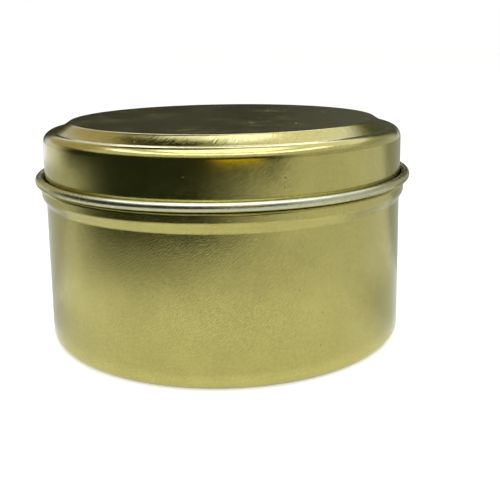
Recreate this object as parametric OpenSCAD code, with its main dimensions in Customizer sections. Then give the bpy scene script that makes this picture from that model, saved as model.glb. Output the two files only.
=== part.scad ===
// Round slip-lid candle tin: a drawn cup with a stop bead and a rolled rim,
// and a pressed lid that slides down over the neck until it meets the bead.
// Every section is a path of tinplate with round bends, turned about the Z axis.

/* [Tinplate] */
// Thickness of the sheet that both pieces are pressed from
sheet = 0.25; // [0.2:0.01:0.3]

/* [Tin body] */
// Outside diameter of the straight wall
body_d = 76; // [64:1:90]
// Height of the body from the table to the top of its rim
body_h = 43; // [40:0.1:60]
// Outside radius of the bend between the base and the wall
base_corner = 1.8; // [1.2:0.1:2.6]
// How far the middle of the base is raised off the table
base_recess = 0.8; // [0.6:0.1:1.2]
// Width of the flat ring that the tin stands on
foot_w = 2.2; // [1.6:0.1:3]

/* [Stop bead and neck] */
// Distance from the top of the bead up to the top of the rim
neck_h = 9.8; // [8:0.1:14]
// Height of the bead
bead_h = 3.7; // [3.4:0.1:5]
// How far the bead stands out from the wall
bead_out = 0.9; // [0.7:0.1:1.3]
// How far the neck is set in from the wall
neck_in = 0.35; // [0.2:0.05:0.5]
// Outside radius of the rolled rim
rim_roll = 0.9; // [0.8:0.05:1.1]

/* [Lid] */
// Clearance between the neck and the inside of the lid's skirt
lid_gap = 0.25; // [0.2:0.05:0.4]
// Height of the lid's foot above the top of the bead
stop_gap = 0.1; // [0.05:0.05:0.5]
// Head room between the rim of the body and the underside of the shoulder
head_gap = 0.95; // [0.9:0.05:3]
// Height of the roll at the foot of the skirt
lid_roll_h = 1.85; // [1.85:0.05:3]
// Width of the roll, from the inside of the skirt to its outer edge
lid_roll_w = 2.2; // [2.1:0.05:2.6]
// Outside radius of the bends of the roll
lid_roll = 0.9; // [0.7:0.05:0.9]
// Outside radius of the bend between the skirt and the shoulder
lid_corner = 2.2; // [1.6:0.1:2.2]
// Flat width of the shoulder, measured to the sharp corner of the skirt
shoulder_w = 2.5; // [2.5:0.1:4]
// Width of the slope between the shoulder and the centre panel
bevel_w = 3; // [2:0.1:4]
// How far the centre panel stands above the shoulder
panel_rise = 1.75; // [1.2:0.05:2.4]

/* [Hidden] */

// Facets of each turned surface, and straight steps in each bend
TURN_FACETS = 180;
BEND_STEPS = 8;
ROLL_STEPS = 24;
GOLD_LACQUER = [0.72, 0.69, 0.42];

half_sheet = sheet / 2;

// Radii at the middle of the sheet's thickness
wall_r = body_d / 2 - half_sheet;
neck_r = wall_r - neck_in;
bead_r = wall_r + bead_out;
skirt_r = neck_r + sheet + lid_gap;
lid_roll_r = skirt_r + lid_roll_w - sheet;

// Heights at the middle of the sheet's thickness
foot_z = half_sheet;
base_z = base_recess + half_sheet;
bead_top_z = body_h - neck_h;
bead_foot_z = bead_top_z - bead_h;
rim_roll_z = body_h - rim_roll;
lid_foot_z = bead_top_z + stop_gap + half_sheet;
lid_roll_z = bead_top_z + stop_gap + lid_roll_h - lid_roll;
shoulder_z = body_h + head_gap + half_sheet;
panel_z = shoulder_z + panel_rise;

// Base: the panel slopes down to the standing ring over this width
base_slope_w = 1;
foot_outer_r = body_d / 2 - base_corner;
foot_inner_r = foot_outer_r - foot_w;

// Bead: a gentle flare out from the wall, and a short slope back in to the neck
bead_flare_h = 1.5;
bead_slope_h = 0.35;
bead_flare_bend = 1.5;
bead_slope_bend = 0.5;

// Lid: the slope between the shoulder and the panel
bevel_foot_r = skirt_r - shoulder_w;
panel_r = bevel_foot_r - bevel_w;
panel_bend = 0.7;
bevel_foot_bend = 0.6;

// How far round the free end of each roll is turned
RIM_ROLL_TURN = 290;
LID_ROLL_TURN = 150;

function unit(v) = v / norm(v);
function left_of(v) = [-v[1], v[0]];
function turn_between(u, v) = atan2(u[0] * v[1] - u[1] * v[0], u * v);
function reversed(list) = [for (i = [len(list) - 1 : -1 : 0]) list[i]];

// Points of an arc that starts at angle a and turns by the given angle
function arc(centre, r, a, turn, steps) =
    [for (i = [0 : steps]) centre + r * [cos(a + turn * i / steps), sin(a + turn * i / steps)]];

// One face of the sheet round the bend at b; side is 1 for the left face and -1 for the right
function bend(a, b, c, r, side) =
    let (
        u = unit(b - a),
        turn = turn_between(u, unit(c - b)),
        way = sign(turn),
        start = b - u * r * tan(abs(turn) / 2),
        centre = start + way * r * left_of(u),
        from = start - centre
    )
    arc(centre, r - way * side * half_sheet, atan2(from[1], from[0]), turn, BEND_STEPS);

// One face of the sheet along a path, with a bend radius for each inner point of the path
function face(path, bends, side) =
    concat(
        [path[0] + side * half_sheet * left_of(unit(path[1] - path[0]))],
        [for (i = [1 : len(path) - 2]) each bend(path[i - 1], path[i], path[i + 1], bends[i - 1], side)]
    );

// One face of the roll that closes the path, turning to the left
function roll(path, r, turn, side) =
    let (
        end = path[len(path) - 1],
        u = unit(end - path[len(path) - 2]),
        centre = end + r * left_of(u),
        from = end - centre
    )
    arc(centre, r - side * half_sheet, atan2(from[1], from[0]), turn, ROLL_STEPS);

// A pressed piece: the path with its roll, turned about the Z axis
module pressing(path, bends, roll_r, roll_turn) {
    left_face = concat(face(path, bends, 1), roll(path, roll_r, roll_turn, 1));
    right_face = concat(face(path, bends, -1), roll(path, roll_r, roll_turn, -1));
    rotate_extrude($fn = TURN_FACETS) polygon(concat(right_face, reversed(left_face)));
}

// Seamless cup: base, wall, stop bead, neck and a rim rolled inwards
module tin_body() {
    path = [
        [0, base_z],
        [foot_inner_r - base_slope_w, base_z],
        [foot_inner_r, foot_z],
        [wall_r, foot_z],
        [wall_r, bead_foot_z],
        [bead_r, bead_foot_z + bead_flare_h],
        [bead_r, bead_top_z - bead_slope_h],
        [neck_r, bead_top_z],
        [neck_r, rim_roll_z]
    ];
    bends = [
        0.5, 0.5,
        base_corner - half_sheet,
        bead_flare_bend, bead_flare_bend,
        bead_slope_bend, bead_slope_bend
    ];
    color(GOLD_LACQUER) pressing(path, bends, rim_roll - half_sheet, RIM_ROLL_TURN);
}

// Slip lid: raised panel, slope, shoulder, skirt and a foot rolled outwards
module lid() {
    path = [
        [0, panel_z],
        [panel_r, panel_z],
        [bevel_foot_r, shoulder_z],
        [skirt_r, shoulder_z],
        [skirt_r, lid_foot_z],
        [lid_roll_r, lid_foot_z],
        [lid_roll_r, lid_roll_z]
    ];
    roll_bend = lid_roll - half_sheet;
    bends = [panel_bend, bevel_foot_bend, lid_corner - half_sheet, roll_bend, roll_bend];
    color(GOLD_LACQUER) pressing(path, bends, roll_bend, LID_ROLL_TURN);
}

tin_body();
lid();
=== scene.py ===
"""A round gold-lacquered candle tin with a slip lid, on a pale floor."""
import math

import bpy
from mathutils import Matrix, Vector

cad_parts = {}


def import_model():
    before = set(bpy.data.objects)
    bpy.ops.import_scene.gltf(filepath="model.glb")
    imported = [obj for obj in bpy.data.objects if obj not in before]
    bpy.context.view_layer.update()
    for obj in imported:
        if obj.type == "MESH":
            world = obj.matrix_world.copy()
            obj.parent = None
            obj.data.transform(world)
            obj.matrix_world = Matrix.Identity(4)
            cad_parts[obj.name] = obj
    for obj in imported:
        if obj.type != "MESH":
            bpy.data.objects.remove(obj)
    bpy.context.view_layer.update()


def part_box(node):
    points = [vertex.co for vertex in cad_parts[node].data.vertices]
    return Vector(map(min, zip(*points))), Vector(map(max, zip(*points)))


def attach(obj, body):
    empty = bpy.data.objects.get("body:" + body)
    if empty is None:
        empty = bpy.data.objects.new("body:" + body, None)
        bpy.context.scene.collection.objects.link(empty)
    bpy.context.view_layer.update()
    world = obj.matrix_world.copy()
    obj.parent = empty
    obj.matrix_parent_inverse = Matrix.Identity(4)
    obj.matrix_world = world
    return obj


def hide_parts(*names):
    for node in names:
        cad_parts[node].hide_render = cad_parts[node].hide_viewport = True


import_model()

MM = 0.001

# Sheet and bend sizes of the two pressings, as in the part's design
SHEET = 0.25 * MM
HALF_SHEET = SHEET / 2
NECK_IN = 0.35 * MM
BEAD_OUT = 0.9 * MM
BEAD_H = 3.7 * MM
BEAD_FLARE_H = 1.5 * MM
BEAD_FLARE_BEND = 1.5 * MM
BEAD_SLOPE_H = 0.35 * MM
BEAD_SLOPE_BEND = 0.5 * MM
BASE_CORNER = 1.8 * MM
BASE_RECESS = 0.8 * MM
BASE_SLOPE_W = 1.0 * MM
BASE_SLOPE_BEND = 0.5 * MM
FOOT_W = 2.2 * MM
RIM_ROLL = 0.9 * MM
STOP_GAP = 0.1 * MM
LID_ROLL_H = 1.85 * MM
LID_ROLL_W = 2.2 * MM
LID_ROLL = 0.9 * MM
LID_CORNER = 2.2 * MM
SHOULDER_W = 2.5 * MM
BEVEL_W = 3.0 * MM
PANEL_RISE = 1.75 * MM
PANEL_BEND = 0.7 * MM
BEVEL_FOOT_BEND = 0.6 * MM
RIM_ROLL_TURN = 290
LID_ROLL_TURN = 150

# Mesh fineness
TURNS = 160
BEND_STEPS = 8
ROLL_STEPS = 30
HOLLOW_STEPS = 12
HOLLOW_TURN = 0.10  # the steepest lean of the dished slope, in radians
POLE_R = 0.2 * MM  # the flat middle of a pressing is closed by one small many-sided face

# Rubbed strokes on the slope of the lid
STROKE_R = 34 * MM  # where on the slope the strokes have their stated width
STROKE_W = 0.32 * MM
STROKE_L = 2.5 * MM
STROKE_LEAN = 0.5  # how far a stroke moves round the tin for each step outwards
STROKE_DEPTH = 0.032 * MM

# Edges of the slope, each a pair: just off the slope, and just on it
SLOPE_FOOT = (35.8 * MM, 35.4 * MM)  # distances from the axis
SLOPE_HEAD = (32.5 * MM, 33.2 * MM)  # distances from the axis
SLOPE_LOW = (43.9 * MM, 44.2 * MM)  # heights

# Marks on the sheet: the size of each
MOTTLE, CLOUD = 9 * MM, 3 * MM
GRAIN_L, GRAIN_W, GRAIN_ANGLE = 0.9 * MM, 0.26 * MM, 40
SPECKS = 0.30 * MM
PIT_GAP = 2.2 * MM
SMEAR, RUB = 7 * MM, 0.6 * MM
WAVES = 14 * MM

# How deep the marks are
FINE_DEPTH, WAVE_DEPTH = 0.0085 * MM, 0.12 * MM
GRAIN_H, SCRATCH_H, PIT_H = 2.3, 0.5, 1.5  # as parts of FINE_DEPTH, next to 1 for the specks

PIT = (0.06, 0.055, 0.03)  # the colour at the bottom of a pit
PANEL_WEAR = (44.8 * MM, 45.4 * MM)  # the heights between which wear grows from the wall's to the panel's

# Places of the two finishes in a piece's list of materials
LACQUER, TINPLATE = 0, 1


# ---------------------------------------------------------------- sections

def left_of(v):
    return Vector((-v.y, v.x))


def arc(centre, radius, start, turn, steps):
    """Points round an arc, each with its direction from the centre."""
    ways = [start + turn * i / steps for i in range(steps + 1)]
    ways = [Vector((math.cos(a), math.sin(a))) for a in ways]
    return [(centre + radius * way, way) for way in ways]


def bend(a, b, c, radius, side):
    """One face of the sheet round the bend at b. side is 1 for the left face and -1 for the right."""
    u, v = (b - a).normalized(), (c - b).normalized()
    turn = math.atan2(u.x * v.y - u.y * v.x, u.dot(v))
    way = math.copysign(1, turn)
    start = b - u * radius * math.tan(abs(turn) / 2)
    centre = start + way * radius * left_of(u)
    first = start - centre
    points = arc(centre, radius - way * side * HALF_SHEET, math.atan2(first.y, first.x), turn, BEND_STEPS)
    return [(p, -way * side * n) for p, n in points]


def hollow_flat(start, end, side):
    """The flat between two points of one face, dished by the press into a very shallow hollow."""
    along, out = end[0] - start[0], []
    unit = along.normalized()
    across = left_of(unit)
    for i in range(1, HOLLOW_STEPS):
        t = i / HOLLOW_STEPS
        sink = HOLLOW_TURN * along.length * t * (1 - t)
        lean = HOLLOW_TURN * (1 - 2 * t)
        out.append((start[0] + t * along - sink * across, side * (across + lean * unit).normalized()))
    return out


def face(path, bends, roll_radius, roll_turn, side, hollow=None):
    """One face of a pressed sheet: points, each with the direction that faces out of the metal.

    hollow is the number of the path's flat that is dished.
    """
    across = side * left_of((path[1] - path[0]).normalized())
    points = [(path[0] + HALF_SHEET * across, across)]
    for i, radius in enumerate(bends, start=1):
        turned = bend(path[i - 1], path[i], path[i + 1], radius, side)
        if i == hollow:
            points += hollow_flat(points[-1], turned[0], side)
        points += turned
    centre = path[-1] + roll_radius * left_of((path[-1] - path[-2]).normalized())
    first = path[-1] - centre
    roll = arc(centre, roll_radius - side * HALF_SHEET, math.atan2(first.y, first.x),
               math.radians(roll_turn), ROLL_STEPS)
    return points + [(p, -side * n) for p, n in roll]


# ---------------------------------------------------------------- pressed pieces

def bands(path, bends, roll_radius, roll_turn, lacquered_side, hollow=None):
    """The whole section as bands: (start, end, normal at start, normal at end, finish)."""
    path = [Vector(p) for p in path]
    right = face(path, bends, roll_radius, roll_turn, -1, hollow)
    left = face(path, bends, roll_radius, roll_turn, 1, hollow)[::-1]
    finish_of = {lacquered_side: LACQUER, -lacquered_side: TINPLATE}
    cut = -left_of((left[0][0] - right[-1][0]).normalized())
    out = [(*p, *q, finish_of[-1]) for p, q in zip(right, right[1:])]
    out.append((right[-1][0], cut, left[0][0], cut, TINPLATE))
    out += [(*p, *q, finish_of[1]) for p, q in zip(left, left[1:])]
    return [(p, q, n, m, finish) for p, n, q, m, finish in out]


def pressing(name, section):
    """The section turned about the Z axis, as one closed mesh with exact normals and a flat map in metres."""
    corners, faces, finishes, normals, places = [], [], [], [], []
    angles = [math.pi / 2 + 2 * math.pi * i / TURNS for i in range(TURNS + 1)]
    ways = [(math.cos(a), math.sin(a)) for a in angles]
    widest = max(p.x for p, *_ in section)

    def spun(direction, i):
        return (direction.x * ways[i][0], direction.x * ways[i][1], direction.y)

    for p, *_ in section:
        corners += [(p.x * x, p.x * y, p.y) for x, y in ways[:TURNS]]
    last = section[-1][1]
    corners += [(last.x * x, last.x * y, last.y) for x, y in ways[:TURNS]]

    run = 0.0
    for k, (p, q, n, m, finish) in enumerate(section):
        first, second = k * TURNS, (k + 1) * TURNS
        length = (q - p).length
        flat = min(abs(n.y), abs(m.y)) > 0.7
        for i in range(TURNS):
            j = (i + 1) % TURNS
            faces.append((first + i, first + j, second + j, second + i))
            finishes.append(finish)
            normals += [spun(n, i), spun(n, i + 1), spun(m, i + 1), spun(m, i)]
            ring = [(p, i, run), (p, i + 1, run), (q, i + 1, run + length), (q, i, run + length)]
            places += [(c.x * ways[s][0], c.x * ways[s][1]) if flat
                       else (widest * (angles[s] - angles[0]), r) for c, s, r in ring]
        run += length

    # the two flat middles
    for start, finish, normal, order in (
        (0, section[0][4], section[0][2], -1),
        (len(section) * TURNS, section[-1][4], section[-1][3], 1),
    ):
        loop = list(range(start, start + TURNS))[::order]
        faces.append(tuple(loop))
        finishes.append(finish)
        normals += [spun(normal, 0)] * TURNS
        places += [corners[v][:2] for v in loop]

    mesh = bpy.data.meshes.new(name)
    mesh.from_pydata(corners, [], faces)
    mesh.polygons.foreach_set("material_index", finishes)
    mesh.polygons.foreach_set("use_smooth", [True] * len(faces))
    layer = mesh.uv_layers.new(name="sheet")
    layer.data.foreach_set("uv", [c for place in places for c in place])
    mesh.normals_split_custom_set(normals)
    mesh.update()
    obj = bpy.data.objects.new(name, mesh)
    bpy.context.scene.collection.objects.link(obj)
    return obj


def tin_body():
    low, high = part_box("tin_body")
    wall_r = high.x - BEAD_OUT - HALF_SHEET
    bead_r = high.x - HALF_SHEET
    neck_r = wall_r - NECK_IN
    bead_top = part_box("lid")[0].z - STOP_GAP
    bead_foot = bead_top - BEAD_H
    foot_outer = wall_r + HALF_SHEET - BASE_CORNER
    foot_inner = foot_outer - FOOT_W
    base_z = low.z + BASE_RECESS + HALF_SHEET
    foot_z = low.z + HALF_SHEET
    path = [
        (POLE_R, base_z),
        (foot_inner - BASE_SLOPE_W, base_z),
        (foot_inner, foot_z),
        (wall_r, foot_z),
        (wall_r, bead_foot),
        (bead_r, bead_foot + BEAD_FLARE_H),
        (bead_r, bead_top - BEAD_SLOPE_H),
        (neck_r, bead_top),
        (neck_r, high.z - RIM_ROLL),
    ]
    bends = [
        BASE_SLOPE_BEND, BASE_SLOPE_BEND, BASE_CORNER - HALF_SHEET,
        BEAD_FLARE_BEND, BEAD_FLARE_BEND, BEAD_SLOPE_BEND, BEAD_SLOPE_BEND,
    ]
    section = bands(path, bends, RIM_ROLL - HALF_SHEET, RIM_ROLL_TURN, lacquered_side=-1)
    return pressing("candle_tin_body", section)


def lid():
    low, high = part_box("lid")
    skirt_r = high.x - LID_ROLL_W + HALF_SHEET
    roll_r = high.x - HALF_SHEET
    foot_z = low.z + HALF_SHEET
    panel_z = high.z - HALF_SHEET
    shoulder_z = panel_z - PANEL_RISE
    bevel_foot = skirt_r - SHOULDER_W
    path = [
        (POLE_R, panel_z),
        (bevel_foot - BEVEL_W, panel_z),
        (bevel_foot, shoulder_z),
        (skirt_r, shoulder_z),
        (skirt_r, foot_z),
        (roll_r, foot_z),
        (roll_r, low.z + LID_ROLL_H - LID_ROLL),
    ]
    roll_bend = LID_ROLL - HALF_SHEET
    bends = [PANEL_BEND, BEVEL_FOOT_BEND, LID_CORNER - HALF_SHEET, roll_bend, roll_bend]
    section = bands(path, bends, roll_bend, LID_ROLL_TURN, lacquered_side=1, hollow=2)
    return pressing("candle_tin_lid", section)


# ---------------------------------------------------------------- materials

def node(tree, kind, inputs=None, **settings):
    made = tree.nodes.new(kind)
    for name, value in settings.items():
        setattr(made, name, value)
    for key, value in (inputs or {}).items():
        if isinstance(value, bpy.types.NodeSocket):
            tree.links.new(value, made.inputs[key])
        else:
            made.inputs[key].default_value = value
    return made


def maths(tree, operation, a, b=0.0, clamp=False):
    return node(tree, "ShaderNodeMath", {0: a, 1: b}, operation=operation, use_clamp=clamp).outputs[0]


def new_material(name):
    made = bpy.data.materials.new(name)
    made.use_nodes = True
    return made, made.node_tree, made.node_tree.nodes["Principled BSDF"]


def between(tree, value, low, high, to_low=0.0, to_high=1.0):
    """value from low to high becomes to_low to to_high, and stays inside them."""
    return node(tree, "ShaderNodeMapRange", {
        "Value": value, "From Min": low, "From Max": high, "To Min": to_low, "To Max": to_high,
    }).outputs["Result"]


def noise(tree, place, size, detail=2.0, roughness=0.5, dimensions="3D"):
    """Soft noise with spots of about the given size, in metres."""
    return node(tree, "ShaderNodeTexNoise", {
        "Vector": place, "Scale": 1 / size, "Detail": detail, "Roughness": roughness,
    }, noise_dimensions=dimensions).outputs["Fac"]


def hairlines(tree, sheet, angle, length, gap, width, seed):
    """Thin scratches on the sheet: 1 on a line and 0 off it."""
    along = node(tree, "ShaderNodeMapping", {
        "Vector": sheet, "Location": (seed, seed, 0),
        "Rotation": (0, 0, math.radians(angle)), "Scale": (length, gap, 1),
    }, vector_type="TEXTURE").outputs[0]
    field = noise(tree, along, 1.0, detail=1.5, dimensions="2D")
    off_line = maths(tree, "ABSOLUTE", maths(tree, "SUBTRACT", field, 0.5))
    line = between(tree, off_line, 0.0, width, 1.0, 0.0)
    patch = between(tree, noise(tree, sheet, length * 1.5, dimensions="2D"), 0.45, 0.62)
    return maths(tree, "MULTIPLY", line, patch)


def slope_strokes(tree, place):
    """Short rubbed strokes up and down the slope of the lid: a height, and 1 on the slope and 0 off it."""
    axes = node(tree, "ShaderNodeSeparateXYZ", {0: place}).outputs
    back = maths(tree, "MULTIPLY", axes[1], -1.0)
    turn = maths(tree, "MULTIPLY", maths(tree, "ARCTAN2", axes[0], back), STROKE_R)
    flat = node(tree, "ShaderNodeCombineXYZ", {0: axes[0], 1: axes[1]}).outputs[0]
    out = node(tree, "ShaderNodeVectorMath", {0: flat}, operation="LENGTH").outputs["Value"]
    slanted = maths(tree, "ADD", turn, maths(tree, "MULTIPLY", out, STROKE_LEAN))
    run = node(tree, "ShaderNodeCombineXYZ", {
        0: maths(tree, "MULTIPLY", slanted, 1 / STROKE_W), 1: maths(tree, "MULTIPLY", out, 1 / STROKE_L),
    }).outputs[0]
    strokes = noise(tree, run, 1.0, detail=2.0, dimensions="2D")
    foot = between(tree, out, *SLOPE_FOOT)
    head = between(tree, out, *SLOPE_HEAD)
    above = between(tree, axes[2], *SLOPE_LOW)
    on_slope = maths(tree, "MULTIPLY", maths(tree, "MULTIPLY", foot, head), above)
    return strokes, on_slope


def diagonal_grain(tree, sheet):
    along = node(tree, "ShaderNodeMapping", {
        "Vector": sheet, "Rotation": (0, 0, math.radians(GRAIN_ANGLE)), "Scale": (GRAIN_L, GRAIN_W, 1),
    }, vector_type="TEXTURE").outputs[0]
    return noise(tree, along, 1.0, detail=2, dimensions="2D")


def all_scratches(tree, sheet):
    """Hairlines in three directions: 1 on a line and 0 off it."""
    slanted = hairlines(tree, sheet, 38, 6 * MM, 0.35 * MM, 0.012, 0.11)
    steep = hairlines(tree, sheet, 84, 9 * MM, 0.30 * MM, 0.012, 0.37)
    level = hairlines(tree, sheet, -9, 8 * MM, 0.40 * MM, 0.008, 0.73)
    return maths(tree, "MAXIMUM", maths(tree, "MAXIMUM", slanted, steep), level)


def small_pits(tree, place):
    """A few small round pits: 1 in a pit and 0 outside it."""
    spots = node(tree, "ShaderNodeTexVoronoi", {"Vector": place, "Scale": 1 / PIT_GAP})
    pit = between(tree, spots.outputs["Distance"], 0.05, 0.09, 1.0, 0.0)
    lot = node(tree, "ShaderNodeSeparateColor", {0: spots.outputs["Color"]}).outputs[0]
    return maths(tree, "MULTIPLY", pit, between(tree, lot, 0.78, 0.80))


def mix(tree, amount, a, b):
    return node(tree, "ShaderNodeMix", {0: amount, 6: a, 7: b}, data_type="RGBA").outputs[2]


def sheet_colour(tree, mottle, cloud, grain, pits, dark, light):
    tone = maths(tree, "ADD", between(tree, mottle, 0.3, 0.7, 0.0, 0.55),
                 between(tree, cloud, 0.3, 0.7, 0.0, 0.45))
    tone = maths(tree, "ADD", tone, between(tree, grain, 0.3, 0.7, -0.45, 0.45), clamp=True)
    return mix(tree, maths(tree, "MULTIPLY", pits, 0.55), mix(tree, tone, (*dark, 1), (*light, 1)), (*PIT, 1))


def sheet_roughness(tree, place, cloud, scratches, pits, roughness):
    """Rougher on scratches and in pits, and in rubbed smears, which are strongest on the lid's panel."""
    rough = maths(tree, "ADD", between(tree, cloud, 0.3, 0.7, roughness - 0.015, roughness + 0.03),
                  maths(tree, "MULTIPLY", scratches, 0.12))
    rough = maths(tree, "ADD", rough, maths(tree, "MULTIPLY", pits, 0.3))
    smear = between(tree, noise(tree, place, SMEAR, detail=2), 0.50, 0.72)
    rub = between(tree, noise(tree, place, RUB, detail=3, roughness=0.65), 0.38, 0.72)
    scuffs = maths(tree, "MULTIPLY", smear, rub)
    height_above = node(tree, "ShaderNodeSeparateXYZ", {0: place}).outputs[2]
    worn = between(tree, height_above, *PANEL_WEAR, 0.05, 0.20)
    return maths(tree, "ADD", rough, maths(tree, "MULTIPLY", scuffs, worn))


def bump(tree, strength, depth, height, under=None):
    sockets = {"Strength": strength, "Distance": depth, "Height": height}
    if under:
        sockets["Normal"] = under
    return node(tree, "ShaderNodeBump", sockets).outputs[0]


def sheet_relief(tree, place, grain, scratches, pits):
    """The marks, then the press's broad waves, then the strokes on the lid's slope."""
    height = maths(tree, "ADD", maths(tree, "MULTIPLY", grain, GRAIN_H), noise(tree, place, SPECKS, detail=1))
    height = maths(tree, "SUBTRACT", height, maths(tree, "MULTIPLY", scratches, SCRATCH_H))
    height = maths(tree, "SUBTRACT", height, maths(tree, "MULTIPLY", pits, PIT_H))
    fine = bump(tree, 0.5, FINE_DEPTH, height)
    broad = bump(tree, 0.5, WAVE_DEPTH, noise(tree, place, WAVES, detail=1), fine)
    strokes, on_slope = slope_strokes(tree, place)
    return bump(tree, 1.0, STROKE_DEPTH, maths(tree, "MULTIPLY", strokes, on_slope), broad)


def metal(name, dark, light, roughness, coat):
    """Pressed sheet metal: fine grain, hairline scratches, rubs and small pits. coat is a clear lacquer."""
    made, tree, shader = new_material(name)
    place = node(tree, "ShaderNodeTexCoord").outputs["Object"]
    sheet = node(tree, "ShaderNodeUVMap", uv_map="sheet").outputs[0]

    mottle = noise(tree, place, MOTTLE, detail=3)
    cloud = noise(tree, place, CLOUD, detail=4, roughness=0.6)
    grain = diagonal_grain(tree, sheet)
    scratches = all_scratches(tree, sheet)
    pits = small_pits(tree, place)

    for socket, value in (
        ("Base Color", sheet_colour(tree, mottle, cloud, grain, pits, dark, light)),
        ("Roughness", sheet_roughness(tree, place, cloud, scratches, pits, roughness)),
        ("Normal", sheet_relief(tree, place, grain, scratches, pits)),
    ):
        tree.links.new(value, shader.inputs[socket])
    shader.inputs["Metallic"].default_value = 1.0
    shader.inputs["Specular Tint"].default_value = (0.70, 0.69, 0.52, 1)
    if coat:
        shader.inputs["Coat Weight"].default_value = coat
        shader.inputs["Coat Roughness"].default_value = 0.12
        shader.inputs["Coat IOR"].default_value = 1.45
    return made


# ---------------------------------------------------------------- studio

def glow_material(name, colour):
    """A plain glow that fades to nothing where the card's own "fade" falls to 0."""
    made = bpy.data.materials.new(name)
    made.use_nodes = True
    tree = made.node_tree
    tree.nodes.clear()
    fade = node(tree, "ShaderNodeAttribute", attribute_name="fade")
    clear = node(tree, "ShaderNodeBsdfTransparent")
    light = node(tree, "ShaderNodeEmission", {"Color": (*colour, 1), "Strength": 1.0})
    mixed = node(tree, "ShaderNodeMixShader", {
        0: fade.outputs["Fac"], 1: clear.outputs[0], 2: light.outputs[0],
    })
    out = node(tree, "ShaderNodeOutputMaterial")
    tree.links.new(mixed.outputs[0], out.inputs["Surface"])
    return made


def stage_mesh(name, corners, faces, material):
    mesh = bpy.data.meshes.new(name)
    mesh.from_pydata(corners, [], faces)
    mesh.materials.append(material)
    obj = bpy.data.objects.new(name, mesh)
    bpy.context.scene.collection.objects.link(obj)
    return obj


def floor():
    """A pale floor that glows a little next to the tin, which softens the contact shadow."""
    half = 3.0
    corners = [(-half, -half, 0), (half, -half, 0), (half, half, 0), (-half, half, 0)]
    made, tree, shader = new_material("pale_floor")
    place = node(tree, "ShaderNodeTexCoord").outputs["Object"]
    colour = mix(tree, noise(tree, place, 0.2, detail=3), (0.90, 0.90, 0.89, 1), (0.93, 0.93, 0.92, 1))
    tree.links.new(colour, shader.inputs["Base Color"])
    shader.inputs["Roughness"].default_value = 0.85
    shader.inputs["Emission Color"].default_value = (1, 1, 0.99, 1)
    away = node(tree, "ShaderNodeVectorMath", {0: place}, operation="LENGTH").outputs["Value"]
    tree.links.new(between(tree, away, 0.037, 0.075, 0.47, 0.08), shader.inputs["Emission Strength"])
    stage_mesh("floor", corners, [(0, 1, 2, 3)], made)


def smooth(x):
    x = min(max(x, 0.0), 1.0)
    return x * x * (3 - 2 * x)


def inside(x, span, soft):
    """1 well inside a span and 0 outside it, with a soft edge of its own width at each end."""
    return smooth((x - span[0]) / soft[0] + 0.5) * smooth((span[1] - x) / soft[1] + 0.5)


def card(name, shape, across, up, colour, soft_across, soft_up, most=1.0):
    """A card that shows only in reflections.

    across is the span of directions round the tin in degrees, 0 at the front and rising to the right.
    up is the span of the other measure, which shape turns into a radius and a height.
    """
    def grid(span, soft, steps):
        low, high = span[0] - soft[0] / 2, span[1] + soft[1] / 2
        return [low + (high - low) * i / steps for i in range(steps + 1)]

    columns, rows = grid(across, soft_across, 48), grid(up, soft_up, 24)
    corners, fades = [], []
    for a in columns:
        for h in rows:
            radius, height = shape(h)
            way = math.radians(a)
            corners.append((radius * math.sin(way), -radius * math.cos(way), height))
            fades.append(most * inside(a, across, soft_across) * inside(h, up, soft_up))
    n = len(rows)
    faces = [(i * n + j, (i + 1) * n + j, (i + 1) * n + j + 1, i * n + j + 1)
             for i in range(len(columns) - 1) for j in range(n - 1)]
    made = stage_mesh(name, corners, faces, glow_material(name, colour))
    made.data.attributes.new("fade", "FLOAT", "POINT").data.foreach_set("value", fades)
    made.visible_camera = False
    made.visible_diffuse = False
    made.visible_shadow = False
    made.visible_transmission = False


def wall_at(radius):
    """An upright card: up is its height in metres."""
    return lambda h: (radius, h)


def table_at(height):
    """A level card: up is its distance from the tin's axis in metres."""
    return lambda h: (h, height)


def dome_at(radius, eye=0.045):
    """A part of the room round the lid: up is the angle above level in degrees."""
    return lambda h: (radius * math.cos(math.radians(h)), eye + radius * math.sin(math.radians(h)))


def area_light(name, place, target, size, power):
    data = bpy.data.lights.new(name, "AREA")
    data.shape = "SQUARE"
    data.size = size
    data.energy = power
    obj = bpy.data.objects.new(name, data)
    obj.location = place
    obj.rotation_mode = "QUATERNION"
    obj.rotation_quaternion = (Vector(target) - Vector(place)).to_track_quat("-Z", "Y")
    bpy.context.scene.collection.objects.link(obj)


def world():
    made = bpy.data.worlds.new("studio")
    made.use_nodes = True
    background = made.node_tree.nodes["Background"]
    background.inputs["Color"].default_value = (1, 1, 1, 1)
    background.inputs["Strength"].default_value = 1.0
    bpy.context.scene.world = made


def camera():
    """A hand-held phone in front of the tin and a little above it, turned and tilted very slightly."""
    distance, height = 0.16829, 0.06236
    turn, down, roll = 0.0282, 0.1732, -0.0145
    forward = Vector((math.sin(turn) * math.cos(down), math.cos(turn) * math.cos(down), -math.sin(down)))
    data = bpy.data.cameras.new("camera")
    data.sensor_width = 36
    data.lens = 55.728
    data.shift_x = 0.010
    data.shift_y = -0.150
    data.clip_start = 0.01
    obj = bpy.data.objects.new("camera", data)
    level = Vector((math.cos(turn), -math.sin(turn), 0))
    right = math.cos(roll) * level + math.sin(roll) * level.cross(forward)
    up = right.cross(forward)
    obj.matrix_world = Matrix((
        (right.x, up.x, -forward.x, 0),
        (right.y, up.y, -forward.y, -distance),
        (right.z, up.z, -forward.z, height),
        (0, 0, 0, 1),
    ))
    bpy.context.scene.collection.objects.link(obj)
    bpy.context.scene.camera = obj


# ---------------------------------------------------------------- the scene

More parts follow.
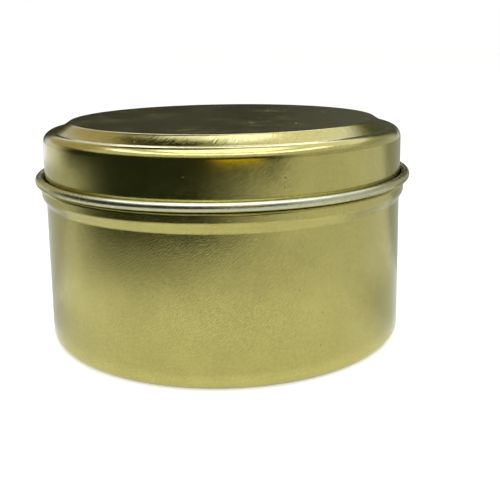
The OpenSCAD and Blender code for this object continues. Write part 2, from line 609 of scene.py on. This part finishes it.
gold = metal("gold_lacquer", dark=(0.345, 0.312, 0.076), light=(0.415, 0.378, 0.100),
             roughness=0.13, coat=1.0)
tinplate = metal("bare_tinplate", dark=(0.42, 0.42, 0.27), light=(0.50, 0.50, 0.34),
                 roughness=0.23, coat=0)

for piece, body, slot in ((tin_body(), "tin_body", "body_lacquer"), (lid(), "lid", "lid_lacquer")):
    piece.data.materials.append(gold)
    piece.data.materials.append(tinplate)
    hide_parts(body)
    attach(piece, body)

floor()
world()

# Dark things in front of the tin, and an amber one close to it
card("dark_front", wall_at(0.125), across=(-80, 9), up=(0.004, 0.085),
     colour=(0.032, 0.040, 0.026), soft_across=(50, 56), soft_up=(0.008, 0.02))
card("dark_front_left", wall_at(0.1235), across=(-101, -15), up=(0.0245, 0.085),
     colour=(0.032, 0.040, 0.026), soft_across=(24, 20), soft_up=(0.005, 0.02))
card("dark_front_top", wall_at(0.124), across=(-26, 32), up=(0.025, 0.085),
     colour=(0.05, 0.047, 0.028), soft_across=(30, 22), soft_up=(0.008, 0.02))
card("amber_front", wall_at(0.060), across=(-3, 15), up=(0.0383, 0.0450),
     colour=(0.90, 0.66, 0.0), soft_across=(10, 8), soft_up=(0.0008, 0.0015))

# Shades on the table round the tin, each a little higher than the one it lies on
card("shaded_table", table_at(0.0005), across=(-88, -6), up=(0.095, 0.30),
     colour=(0.03, 0.03, 0.025), soft_across=(60, 96), soft_up=(0.060, 0.10), most=0.75)
card("shaded_right", table_at(0.0007), across=(5, 140), up=(0.085, 0.50),
     colour=(0.03, 0.03, 0.025), soft_across=(60, 20), soft_up=(0.060, 0.10), most=0.25)
card("shaded_back", table_at(0.0009), across=(113, 205), up=(0.038, 0.60),
     colour=(0.50, 0.50, 0.44), soft_across=(14, 20), soft_up=(0.004, 0.10))
card("shaded_far_right", table_at(0.0011), across=(118, 178), up=(0.170, 0.50),
     colour=(0.42, 0.42, 0.34), soft_across=(14, 20), soft_up=(0.06, 0.10))
card("shaded_left", table_at(0.0013), across=(190, 262), up=(0.038, 0.26),
     colour=(0.64, 0.64, 0.58), soft_across=(30, 24), soft_up=(0.004, 0.05))
card("shaded_foot_right", table_at(0.0015), across=(66, 116), up=(0.038, 0.080),
     colour=(0.75, 0.75, 0.68), soft_across=(30, 10), soft_up=(0.004, 0.05))
card("shaded_foot_left", table_at(0.0017), across=(250, 288), up=(0.038, 0.055),
     colour=(0.60, 0.60, 0.55), soft_across=(14, 40), soft_up=(0.004, 0.03))
card("shaded_foot", table_at(0.0019), across=(-70, 70), up=(0.040, 0.062),
     colour=(0.80, 0.80, 0.76), soft_across=(40, 40), soft_up=(0.004, 0.03), most=0.45)
card("dark_floor_back", table_at(0.0021), across=(155, 198), up=(0.225, 0.60),
     colour=(0.08, 0.08, 0.05), soft_across=(24, 16), soft_up=(0.02, 0.10))

# The room behind the tin and to its sides
card("grey_right", wall_at(0.60), across=(10, 150), up=(-0.01, 0.30),
     colour=(0.70, 0.70, 0.68), soft_across=(40, 30), soft_up=(0.001, 0.05))
card("dark_back", dome_at(0.70), across=(148, 212), up=(-10, 14),
     colour=(0.033, 0.033, 0.018), soft_across=(20, 16), soft_up=(1, 3))
card("dark_back_right", dome_at(0.49), across=(140, 172), up=(4, 30),
     colour=(0.10, 0.10, 0.07), soft_across=(16, 12), soft_up=(4, 6))
card("shaded_corner", dome_at(0.62), across=(100, 150), up=(0, 32),
     colour=(0.55, 0.55, 0.46), soft_across=(20, 16), soft_up=(1, 8))
card("warm_left", dome_at(0.48), across=(208, 262), up=(12, 46),
     colour=(0.66, 0.56, 0.36), soft_across=(12, 20), soft_up=(8, 6))
card("pale_right", dome_at(0.60), across=(100, 160), up=(34, 66),
     colour=(1.5, 1.5, 1.6), soft_across=(24, 16), soft_up=(6, 6))

# Lamps above the tin, and two dark patches high behind it
card("lamp_front", dome_at(0.50), across=(-108, 95), up=(46, 56),
     colour=(3.9, 3.9, 5.4), soft_across=(30, 20), soft_up=(4, 4))
card("lamp_back", dome_at(0.50), across=(158, 200), up=(30, 38),
     colour=(5.4, 5.4, 6.4), soft_across=(16, 12), soft_up=(6, 4))
card("lamp_above", dome_at(0.58), across=(-178, 178), up=(66, 90),
     colour=(2.9, 2.95, 4.0), soft_across=(4, 4), soft_up=(6, 0.1))
card("dark_above", dome_at(0.52), across=(180, 229), up=(38, 65),
     colour=(0.025, 0.028, 0.02), soft_across=(16, 14), soft_up=(5, 4))
card("dark_top", dome_at(0.53), across=(183, 222), up=(58, 72),
     colour=(0.025, 0.028, 0.02), soft_across=(12, 10), soft_up=(4, 3))

area_light("overhead", (0.0, -0.05, 0.75), (0, 0, 0.03), 0.5, 1.5)
bpy.context.scene.view_settings.view_transform = "Standard"
camera()
